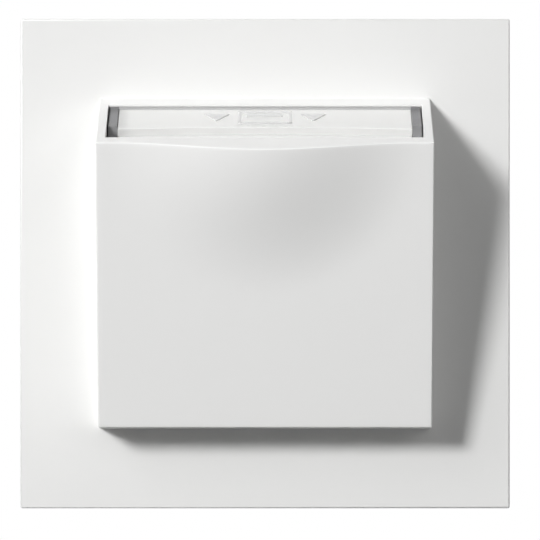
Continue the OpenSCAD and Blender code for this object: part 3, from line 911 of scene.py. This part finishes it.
def slot_tool(sizes, slopes, half_width):
    """The hollow of the pocket as a block: a profile in (h, z) drawn out along X."""
    floor_z = sizes.floor_wall - slopes.top
    rim_z = slopes.top - sizes.rim_depth
    over = 2 * slopes.top
    behind = -0.001
    profile = [
        (behind, floor_z),
        (slopes.inner_front(floor_z), floor_z),
        (slopes.inner_front(over), over),
        (slopes.rim_front(over), over),
        slopes.rim_point(0, sizes.rim_lip),
        slopes.rim_point(sizes.rabbet, sizes.rim_lip),
        (slopes.rim_front(rim_z) - sizes.rabbet / math.cos(slopes.top_angle), rim_z),
        (behind, rim_z),
    ]
    work = bmesh.new()
    ends = [
        [work.verts.new((x, FACE_Y - h, z)) for h, z in profile]
        for x in (-half_width, half_width)
    ]
    block(work, *ends)
    return closed_piece("slot_tool", work)


def snap_ridges(half_width):
    """The two ridges inside the side walls that snap into the carrier."""
    height, deep, half, root = 0.0026, 0.0008, 0.0008, 0.0004
    middle, reach = 0.006, 0.004
    profile = [
        (root, height - half),
        (0, height - half),
        (-deep, height - half / 4),
        (-deep, height + half / 4),
        (0, height + half),
        (root, height + half),
    ]
    work = bmesh.new()
    for side in (-1, 1):
        ends = [
            [work.verts.new((side * (half_width + a), FACE_Y - h, z)) for a, h in profile]
            for z in (middle - reach, middle + reach)
        ]
        block(work, *ends)
    return closed_piece("snap_ridges", work)


def cut(obj, tool, operation):
    """Adds or takes away a tool's shape, as the operation says."""
    made = obj.modifiers.new(operation.title(), "BOOLEAN")
    made.operation = operation
    made.solver = "EXACT"
    made.object = tool


def weigh_edges(mesh, slopes, half_width):
    """Marks which edges of the pocket are rounded, and how much."""
    near, sharp, lip_room, mouth_share = 1e-5, math.radians(25), 0.0005, 0.35
    tangent = math.tan(slopes.top_angle)
    work = bmesh.new()
    work.from_mesh(mesh)
    weight = work.edges.layers.float.new("bevel_weight_edge")
    for edge in work.edges:
        if not edge.is_manifold or edge.calc_face_angle(0.0) < sharp:
            continue
        ends = [v.co for v in edge.verts]
        if all(abs(p.y - FACE_Y) < near for p in ends):
            continue
        on_slope = all(
            abs(p.z + (FACE_Y - p.y) * tangent - slopes.top) < near for p in ends
        )
        on_side = all(abs(abs(p.x) - half_width) < near for p in ends)
        at_foot = all(abs(p.z - slopes.foot.y) < near for p in ends)
        behind_lip = max(p.y for p in ends) > FACE_Y - slopes.lip.x + lip_room
        if on_slope and not on_side and behind_lip:
            edge[weight] = mouth_share
        elif on_slope or on_side or at_foot:
            edge[weight] = 1.0
    work.to_mesh(mesh)
    work.free()


class KEYCARD_OT_card_pocket(bpy.types.Operator):
    """Builds the wedge-shaped card pocket with its slot and its swelling lip"""

    bl_idname = "keycard.card_pocket"
    bl_label = "Card pocket"

    def execute(self, context):
        sizes = context.scene.keycard_pocket
        material = white_cover("pocket_white", context.scene.keycard_finishes.pocket)
        slopes = Slopes(sizes)
        values = {
            label: getattr(sizes, label.lower().replace(" ", "_"))
            for label in WEDGE_LENGTHS + WEDGE_COUNTS
        }
        values |= {"Face": FACE_Y, "Material": material}
        obj = shaped("card_pocket", wedge_tree(), values)
        slot_half = sizes.width / 2 - sizes.side_wall
        slot = slot_tool(sizes, slopes, slot_half)
        ridges = snap_ridges(slot_half)
        cut(obj, slot, "DIFFERENCE")
        cut(obj, ridges, "UNION")
        finished(obj)
        for tool in (slot, ridges):
            bpy.data.objects.remove(tool)
        weigh_edges(obj.data, slopes, sizes.width / 2)
        rounded(obj, sizes.edge, segments=4)
        smoothed(obj, material, angle=30.0)
        placed(obj, "base", "white_cover", "pocket_shell")
        return {"FINISHED"}


class KEYCARD_OT_cover_frame(bpy.types.Operator):
    """Finishes the square cover frame"""

    bl_idname = "keycard.cover_frame"
    bl_label = "Cover frame"

    def execute(self, context):
        material = white_cover("cover_white", context.scene.keycard_finishes.cover)
        softened("face_plate", "cover_frame", "base", "white_cover", material, width=0.00015)
        return {"FINISHED"}


# The window


def extruded(work, loops, slopes, low, high, middle=0.0):
    """Draws closed loops of (x, u) out from low to high over the slanted top, u being the
    way up the slope from its middle. A second loop with as many points is a hole."""
    levels = [
        [
            [work.verts.new(slopes.slope_point(x, middle - u, w)) for x, u in loop]
            for w in (low, high)
        ]
        for loop in loops
    ]
    if len(levels) == 1:
        block(work, *levels[0])
        return
    outer, inner = levels
    walls(work, *outer)
    walls(work, *inner)
    for level in (0, 1):
        walls(work, outer[level], inner[level])


def rounded_loop(width, height, radius, steps=6):
    """A rounded rectangle about the middle, as points."""
    points = []
    for quarter, (x, y) in enumerate(((1, 1), (-1, 1), (-1, -1), (1, -1))):
        for i in range(steps + 1):
            turn = math.radians(90 * quarter + 90 * i / steps)
            points.append(
                (
                    x * (width / 2 - radius) + radius * math.cos(turn),
                    y * (height / 2 - radius) + radius * math.sin(turn),
                )
            )
    return points


class KEYCARD_OT_legend_window(bpy.types.Operator):
    """Builds the window with its hollow front edge, the sign on it and the film under it"""

    bl_idname = "keycard.legend_window"
    bl_label = "Legend window"

    def execute(self, context):
        sizes = context.scene.keycard_window
        slopes = Slopes(context.scene.keycard_pocket)
        back, front = slopes.window_span()
        self.window(sizes, slopes, back, front)
        self.sign(sizes, slopes, (back + front - sizes.hollow) / 2)
        self.film(sizes, slopes, back, front, context.scene.keycard_finishes.legend)
        return {"FINISHED"}

    def window(self, sizes, slopes, back, front):
        """A plate with straight ends and a hollow front edge, which is part of a circle."""
        half, bow, steps = sizes.width / 2, sizes.hollow, 40
        radius = (half * half + bow * bow) / (2 * bow)
        loop = [(half, -back), (-half, -back)]
        for i in range(steps + 1):
            x = -half + sizes.width * i / steps
            loop.append((x, bow - front - radius + math.sqrt(radius**2 - x * x)))
        work = bmesh.new()
        extruded(work, [loop], slopes, -sizes.sink - sizes.thickness, -sizes.sink)
        obj = closed_piece("clear_window", work)
        obj.data.shade_smooth()
        rounded(obj, sizes.edge, segments=3, angle=40)
        tint = (0.93, 0.93, 0.92)
        smoothed(obj, milky_acrylic("milky_acrylic", frost=0.12, tint=tint, clear=0.35))
        placed(obj, "base", "clear", "legend_window")

    def sign(self, sizes, slopes, middle):
        """A card between two arrow heads, standing on the window."""
        width, height, line, radius = 0.0094, 0.006, 0.0006, 0.0007
        stripe, stripe_radius, edge = 0.0011, 0.0001, 0.00006
        arrow_x, arrow_w, arrow_h = 0.0084, 0.0044, 0.0032
        low, high = -sizes.sink - HAIR, -sizes.sink + sizes.relief
        outer = rounded_loop(width, height, radius)
        inner = rounded_loop(width - 2 * line, height - 2 * line, line / 2)
        band = rounded_loop(width * 2 / 3, stripe, stripe_radius, steps=3)
        figures = [[outer, inner], [[(x, y + stripe) for x, y in band]]]
        for x in (-arrow_x, arrow_x):
            top, tip = arrow_h / 2, -arrow_h / 2
            figures.append([[(x - arrow_w / 2, top), (x, tip), (x + arrow_w / 2, top)]])
        work = bmesh.new()
        for loops in figures:
            extruded(work, loops, slopes, low, high, middle)
        obj = closed_piece("card_sign", work)
        rounded(obj, edge, segments=2, angle=40)
        # The sign's grey tint is painted shade, standing in for the shading that shows its low
        # relief; its frosted gloss is real.
        tint = (0.78, 0.78, 0.78)
        smoothed(obj, milky_acrylic("frosted_acrylic", frost=0.4, tint=tint, clear=0.2))
        placed(obj, "base", "clear")

    def film(self, sizes, slopes, back, front, colour):
        """The film is straight in front, so it closes the light box under the hollow edge."""
        play = 0.0002
        half = sizes.width / 2 - play
        top = -sizes.sink - sizes.thickness
        start, end = -back - 2 * play, play - front
        loop = [(half, start), (-half, start), (-half, end), (half, end)]
        work = bmesh.new()
        extruded(work, [loop], slopes, top - sizes.film, top - HAIR)
        obj = closed_piece("legend_film", work)
        obj.data.materials.append(
            plastic("legend_film", colour, gloss=0.6, grain=0.0003, depth=0.000008, mottle=0.03)
        )
        placed(obj, "base", "legend", "legend_strip")


# The marker light


class KEYCARD_OT_marker_light(bpy.types.Operator):
    """Finishes the tray, the board, the two lamps, the resistor and the two leads of the light"""

    bl_idname = "keycard.marker_light"
    bl_label = "Marker light"

    def execute(self, context):
        inner = plastic("reflector_white", (0.88, 0.88, 0.87), gloss=0.55, depth=0.000008)
        softened("light_tray", "reflector_tray", "base", "white_inner", inner, width=0.00015)
        dress(solder_mask(), "led_board")
        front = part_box("led_left")[0].y
        before, lens_depth, half_band = 0.001, 0.00025, 0.0004
        lamp = marked_plastic(
            "lamp_body",
            colour=(0.88, 0.87, 0.82),
            mark=(0.9, 0.72, 0.2),
            gloss=0.3,
            bounds={Y: (front - before, front + lens_depth)},
        )
        dress(lamp, "led_left", "led_right")
        lacquer = marked_plastic(
            "resistor_lacquer",
            colour=(0.55, 0.42, 0.26),
            mark=(0.3, 0.08, 0.04),
            gloss=0.35,
            bounds={X: (-half_band, half_band)},
        )
        dress(lacquer, "dropper_resistor")
        dress(metal("drawn_copper"), "lead_line", "lead_neutral")
        return {"FINISHED"}


# The mechanism


SPRING_WIRE = 0.00045
SPRING_TURNS = 7.0


def coil_tree():
    """A round wire wound about an axis, lying along Y."""
    tree, t, given, result = shape_tree(
        "Coil spring", ("Radius", "Wire", "Turns", "Length"), ("Start", "Vector")
    )
    turn_steps, wire_sides = 40, 10
    half_wire = t.mul(given["Wire"], 0.5)
    path = t.out(
        "GeometryNodeCurveSpiral",
        {
            "Resolution": turn_steps,
            "Rotations": given["Turns"],
            "Start Radius": given["Radius"],
            "End Radius": given["Radius"],
            "Height": t.sub(given["Length"], given["Wire"]),
        },
    )
    wire = t.tube(path, wire_sides, half_wire)
    lifted = t.moved(wire, t.vector(Z=half_wire))
    lain = t.moved(lifted, given["Start"], LAID_BACK)
    smooth = t.out("GeometryNodeSetShadeSmooth", {"Geometry": lain})
    deliver(t, smooth, given, result)
    return tree


class KEYCARD_OT_card_lever(bpy.types.Operator):
    """Finishes the grey carrier behind the slot, the card lever in it and the lever's pin"""

    bl_idname = "keycard.card_lever"
    bl_label = "Carrier and lever"

    def execute(self, context):
        finishes = context.scene.keycard_finishes
        # The grey moulding is painted paler across the window's width, from a little under the
        # window's top upwards: painted light for what the window's edge throws on it.
        half, painted_light_depth = WINDOW_HIGH.x, 0.002
        grey = marked_plastic(
            "carrier_grey",
            colour=finishes.carrier,
            mark=finishes.seat,
            gloss=0.5,
            bounds={X: (-half, half), Z: (WINDOW_HIGH.z - painted_light_depth, POCKET_HIGH.z)},
        )
        softened("pocket_carrier", "slot_carrier", "base", "dark_carrier", grey, width=0.00004)
        softened("card_lever", "lever_arm", "lever", "lever", natural_white(), width=0.0002)
        dress(metal("plated_steel"), "lever_pin")
        return {"FINISHED"}


class KEYCARD_OT_leaf_switch(bpy.types.Operator):
    """Winds the return spring and finishes the plunger, the lid, the blade and the bars"""

    bl_idname = "keycard.leaf_switch"
    bl_label = "Leaf switch"

    def execute(self, context):
        lid = plastic("lid_grey", (0.3, 0.3, 0.31), gloss=0.45, depth=0.000015)
        softened("switch_cover", "switch_lid", "base", "housing_dark", lid, width=0.00015)
        dress(natural_white(), "switch_plunger")
        dress(metal("spring_bronze"), "contact_blade")
        dress(metal("contact_silver"), "blade_contact", "load_contact")
        dress(metal("plated_steel"), "blade_pin")
        dress(metal("machined_brass"), "line_bar", "load_bar")
        self.spring()
        return {"FINISHED"}

    def spring(self):
        """The coil behind the blade, squashed as far as the plunger pushes the blade."""
        centre = (SPRING_LOW + SPRING_HIGH) / 2
        length = SPRING_HIGH.y - SPRING_LOW.y
        values = {
            "Radius": (SPRING_HIGH.x - SPRING_LOW.x - SPRING_WIRE) / 2,
            "Wire": SPRING_WIRE,
            "Turns": SPRING_TURNS,
            "Length": length,
            "Start": (centre.x, SPRING_LOW.y, centre.z),
            "Material": metal("spring_steel"),
        }
        obj = shaped("coil_spring", coil_tree(), values)
        finished(obj)
        placed(obj, "base", "steel", "return_spring")
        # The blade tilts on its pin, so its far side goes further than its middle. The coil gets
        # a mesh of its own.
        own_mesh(obj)


# Screws and terminals


SCREW_SHANK = 0.00145
SCREW_LENGTHS = (
    "Head radius",
    "Head height",
    "Shank radius",
    "Shank length",
    "Recess length",
    "Recess width",
    "Recess depth",
    "Thread length",
    "Thread pitch",
    "Thread depth",
)


def screw_tree():
    """Like screws on points: head, shank, point, thread and a slot or a cross in the head."""
    tree, t, given, result = shape_tree(
        "Screw set", SCREW_LENGTHS, ("Points", "Geometry"), ("Crossed", "Bool")
    )
    sides, thread_steps, thread_sides, step = 36, 28, 4, 0.0001
    head, head_height = given["Head radius"], given["Head height"]
    shank, pitch = given["Shank radius"], given["Thread pitch"]
    shoulder, crown = t.mul(head, 0.92), t.mul(head, 0.74)
    core = t.sub(shank, given["Thread depth"])
    blunt = t.mul(core, 0.45)
    point = t.mul(shank, 0.8)
    neck = t.sub(given["Shank length"], given["Thread length"])
    turned = t.sub(given["Thread length"], point)
    disc = t.out(
        "GeometryNodeMeshCircle", {"Vertices": sides, "Radius": blunt}, fill_type="NGON"
    )
    # Each step lifts the top face and sets its next radius, as on a lathe.
    steps = [
        (point, blunt, core),
        (turned, core, core),
        (step, core, shank),
        (t.sub(neck, step), shank, shank),
        (0.0, shank, head),
        (t.mul(head_height, 0.62), head, head),
        (t.mul(head_height, 0.24), head, shoulder),
        (t.mul(head_height, 0.14), shoulder, crown),
    ]
    body, top = disc, True
    for lift, old, new in steps:
        raised = t.node(
            "GeometryNodeExtrudeMesh",
            {"Mesh": body, "Selection": top, "Offset Scale": lift, "Individual": False},
            mode="FACES",
        ).outputs
        top = raised["Top"]
        values = {"Geometry": raised["Mesh"], "Selection": top, "Scale": t.div(new, old)}
        body = t.out("GeometryNodeScaleElements", values, domain="FACE")
    under = t.out("GeometryNodeFlipFaces", {"Mesh": disc})
    values = {"Geometry": t.join(body, under), "Distance": SAME_POINT}
    closed = t.out("GeometryNodeMergeByDistance", values)
    height = t.add(given["Shank length"], head_height)
    top_place = t.vector(Z=height)
    groove_depth = t.mul(given["Recess depth"], 2.0)

    def grooved(mesh, x, y):
        size = t.vector(X=x, Y=y, Z=groove_depth)
        bar = t.moved(t.out("GeometryNodeMeshCube", {"Size": size}), top_place)
        return t.out(
            "GeometryNodeMeshBoolean",
            {"Mesh 1": mesh, "Mesh 2": bar},
            operation="DIFFERENCE",
            solver="EXACT",
        )

    slotted = grooved(closed, given["Recess length"], given["Recess width"])
    crossed = grooved(slotted, given["Recess width"], given["Recess length"])
    recessed = t.out(
        "GeometryNodeSwitch",
        {"Switch": given["Crossed"], "False": slotted, "True": crossed},
        input_type="GEOMETRY",
    )
    wound = t.sub(turned, pitch)
    path = t.out(
        "GeometryNodeCurveSpiral",
        {
            "Resolution": thread_steps,
            "Rotations": t.div(wound, pitch),
            "Start Radius": core,
            "End Radius": core,
            "Height": wound,
        },
    )
    thread = t.tube(path, thread_sides, given["Thread depth"])
    thread = t.moved(thread, t.vector(Z=t.add(point, t.mul(pitch, 0.5))))
    screw = t.moved(t.join(recessed, thread), t.vector(Z=t.mul(height, -1.0)))
    values = {"Points": given["Points"], "Instance": screw, "Rotation": LAID_BACK}
    deliver(t, t.out("GeometryNodeInstanceOnPoints", values), given, result)
    return tree


def screw_set(name, nodes, threaded, **values):
    """Like screws in the places of CAD screws, heads towards the back, threaded over a share
    of the shank."""
    boxes = [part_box(n) for n in nodes]
    low, high = boxes[0]
    mesh = bpy.data.meshes.new(name)
    mesh.from_pydata([((a.x + b.x) / 2, b.y, (a.z + b.z) / 2) for a, b in boxes], [], [])
    sizes = {key.replace("_", " "): value for key, value in values.items()}
    length = high.y - low.y - sizes["Head height"]
    sizes |= {
        "Head radius": (high.x - low.x) / 2,
        "Shank radius": SCREW_SHANK,
        "Shank length": length,
        "Thread length": threaded * length,
        "Material": metal("plated_steel"),
    }
    tree = bpy.data.node_groups.get("Screw set") or screw_tree()
    obj = shaped(name, tree, sizes, mesh)
    finished(obj)
    obj.data.shade_smooth()
    smoothed(obj)
    placed(obj, "base", "steel", *nodes)


class KEYCARD_OT_terminals(bpy.types.Operator):
    """Finishes the four brass clamps and turns their slotted screws"""

    bl_idname = "keycard.terminals"
    bl_label = "Terminals"

    def execute(self, context):
        brass = metal("machined_brass")
        for pole in POLES:
            softened("clamp_" + pole, "block_" + pole, "base", "brass", brass, width=0.0002)
        screw_set(
            "terminal_screws",
            ["clamp_screw_" + pole for pole in POLES],
            threaded=0.85,
            Head_height=0.002,
            Recess_length=0.008,
            Recess_width=0.0008,
            Recess_depth=0.0009,
            Crossed=False,
            Thread_pitch=0.0005,
            Thread_depth=0.0002,
        )
        return {"FINISHED"}


class KEYCARD_OT_wall_side(bpy.types.Operator):
    """Finishes the steel yoke and the housing behind it, and turns the long body screws"""

    bl_idname = "keycard.wall_side"
    bl_label = "Wall side"

    def execute(self, context):
        colour = context.scene.keycard_finishes.housing
        softened("yoke", "fixing_yoke", "base", "zinc", metal("zinc_sheet"), width=0.00015)
        grey = plastic("housing_grey", colour, gloss=0.48, grain=0.00035, depth=0.00002)
        softened("rear_housing", "wall_box_housing", "base", "housing", grey, width=0.00025)
        screw_set(
            "body_screws",
            [f"body_screw_{i}" for i in range(1, 5)],
            threaded=0.35,
            Head_height=0.0019,
            Recess_length=0.0036,
            Recess_width=0.0008,
            Recess_depth=0.0011,
            Crossed=True,
            Thread_pitch=0.0011,
            Thread_depth=0.0003,
        )
        return {"FINISHED"}


# The stage


FACE_MIDDLE = Vector((0, FACE_Y, 0))
CAMERA_PLACE = Vector((0.00087, FACE_Y - 0.761, -0.00112))
FLOOR_LEVEL, FLOOR_HALF = -0.16, 1.1
KEY_DISTANCE = 1.6
TOWARDS_KEY = Vector((-0.55, -0.765, 0.325)).normalized()
TOWARDS_SOFT = Vector((-0.66, -0.58, 0.48)).normalized()
LAMPS = {
    # place, size, shape, and the setting that gives the power
    "key_lamp": (FACE_MIDDLE + KEY_DISTANCE * TOWARDS_KEY, 0.36, "DISK", "key_power"),
    "soft_lamp": (FACE_MIDDLE + KEY_DISTANCE * TOWARDS_SOFT, 1.1, "SQUARE", "soft_power"),
    "top_lamp": (Vector((-0.1, -0.15, 0.9)), 0.7, "SQUARE", "top_power"),
    "fill_lamp": (Vector((0.6, -0.97, 0.38)), 0.45, "SQUARE", "fill_power"),
    "back_lamp": (Vector((0.6, 1.1, 0.6)), 0.5, "SQUARE", "back_power"),
}


def seen_rays(t):
    """1 where a ray shows something to the eye, in a mirror or through glass."""
    rays = t.node("ShaderNodeLightPath").outputs
    seen = t.math("MAXIMUM", rays["Is Camera Ray"], rays["Is Glossy Ray"])
    return t.math("MAXIMUM", seen, rays["Is Transmission Ray"])


class KEYCARD_OT_stage(bpy.types.Operator):
    """Sets the pale floor, the white room, the lamps and the camera"""

    bl_idname = "keycard.stage"
    bl_label = "Stage"

    def execute(self, context):
        scene = context.scene
        levels = scene.keycard_stage
        scene.view_settings.view_transform = "Standard"
        self.room(scene, levels.room)
        self.floor()
        for name, (place, size, shape, label) in LAMPS.items():
            self.lamp(name, place, size, shape, getattr(levels, label))
        data = bpy.data.cameras.new("front_camera")
        data.sensor_width = 36.0
        data.lens = levels.lens
        data.clip_start, data.clip_end = 0.05, 20.0
        camera = linked("front_camera", data)
        camera.location = CAMERA_PLACE
        camera.rotation_euler = (math.pi / 2, 0, 0)
        scene.camera = camera
        return {"FINISHED"}

    def room(self, scene, level):
        """A room that is white to look at and dimmer as a light."""
        world = bpy.data.worlds.new("White room")
        world.use_nodes = True
        world.node_tree.nodes.clear()
        t = Tree(world.node_tree)
        strength = t.blend(seen_rays(t), level, 1.0)
        glow = t.out("ShaderNodeBackground", {"Color": WHITE, "Strength": strength})
        t.node("ShaderNodeOutputWorld", {"Surface": glow})
        scene.world = world

    def floor(self):
        """A floor that is pale to look at, keeps shadows, and throws little light back up."""
        pale = Surface("pale_floor")
        pale.set("Base Color", (0.86, 0.86, 0.86, 1))
        pale.set("Roughness", 0.8)
        lift = pale.out("ShaderNodeEmission", {"Color": WHITE, "Strength": 0.3})
        lifted = pale.out("ShaderNodeAddShader", {0: pale.shader.outputs[0], 1: lift})
        dim = pale.out("ShaderNodeBsdfDiffuse", {"Color": (0.05, 0.05, 0.05, 1)})
        values = {0: seen_rays(pale), 1: dim, 2: lifted}
        pale.show(pale.out("ShaderNodeMixShader", values))
        half = FLOOR_HALF
        corners = [(-half, -half), (half, -half), (half, half), (-half, half)]
        mesh = bpy.data.meshes.new("pale_floor")
        mesh.from_pydata([(x, y, FLOOR_LEVEL) for x, y in corners], [], [(0, 1, 2, 3)])
        mesh.materials.append(pale.material)
        linked("pale_floor", mesh)

    def lamp(self, name, place, size, shape, power):
        data = bpy.data.lights.new(name, "AREA")
        data.energy = power
        data.shape = shape
        data.size = size
        lamp = linked(name, data)
        lamp.location = place
        lamp.rotation_euler = (FACE_MIDDLE - place).to_track_quat("-Z", "Y").to_euler()


class KEYCARD_PT_sidebar(bpy.types.Panel):
    """Lists the pieces of the key card switch and their settings"""

    bl_idname = "KEYCARD_PT_sidebar"
    bl_label = "Key card switch"
    bl_space_type = "VIEW_3D"
    bl_region_type = "UI"
    bl_category = "Key Card"

    def draw(self, context):
        for operator in OPERATORS:
            self.layout.operator(operator.bl_idname)
        for group in SETTINGS:
            box = self.layout.box()
            box.label(text=group.bl_rna.name)
            for label in group.__annotations__:
                box.prop(getattr(context.scene, SETTINGS[group]), label)


OPERATORS = (
    KEYCARD_OT_cover_frame,
    KEYCARD_OT_card_pocket,
    KEYCARD_OT_legend_window,
    KEYCARD_OT_marker_light,
    KEYCARD_OT_card_lever,
    KEYCARD_OT_leaf_switch,
    KEYCARD_OT_terminals,
    KEYCARD_OT_wall_side,
    KEYCARD_OT_stage,
)
SETTINGS = {
    PocketSizes: "keycard_pocket",
    WindowSizes: "keycard_window",
    Finishes: "keycard_finishes",
    StageLevels: "keycard_stage",
}


def register():
    for made in (*SETTINGS, *OPERATORS, KEYCARD_PT_sidebar):
        bpy.utils.register_class(made)
    for group, label in SETTINGS.items():
        setattr(bpy.types.Scene, label, PointerProperty(type=group))


def unregister():
    for label in SETTINGS.values():
        delattr(bpy.types.Scene, label)
    for made in (KEYCARD_PT_sidebar, *reversed(OPERATORS), *reversed(SETTINGS)):
        bpy.utils.unregister_class(made)


def main():
    register()
    bpy.ops.keycard.cover_frame()
    bpy.ops.keycard.card_pocket()
    bpy.ops.keycard.legend_window()
    bpy.ops.keycard.marker_light()
    bpy.ops.keycard.card_lever()
    bpy.ops.keycard.leaf_switch()
    bpy.ops.keycard.terminals()
    bpy.ops.keycard.wall_side()
    bpy.ops.keycard.stage()


if __name__ == "__main__":
    main()
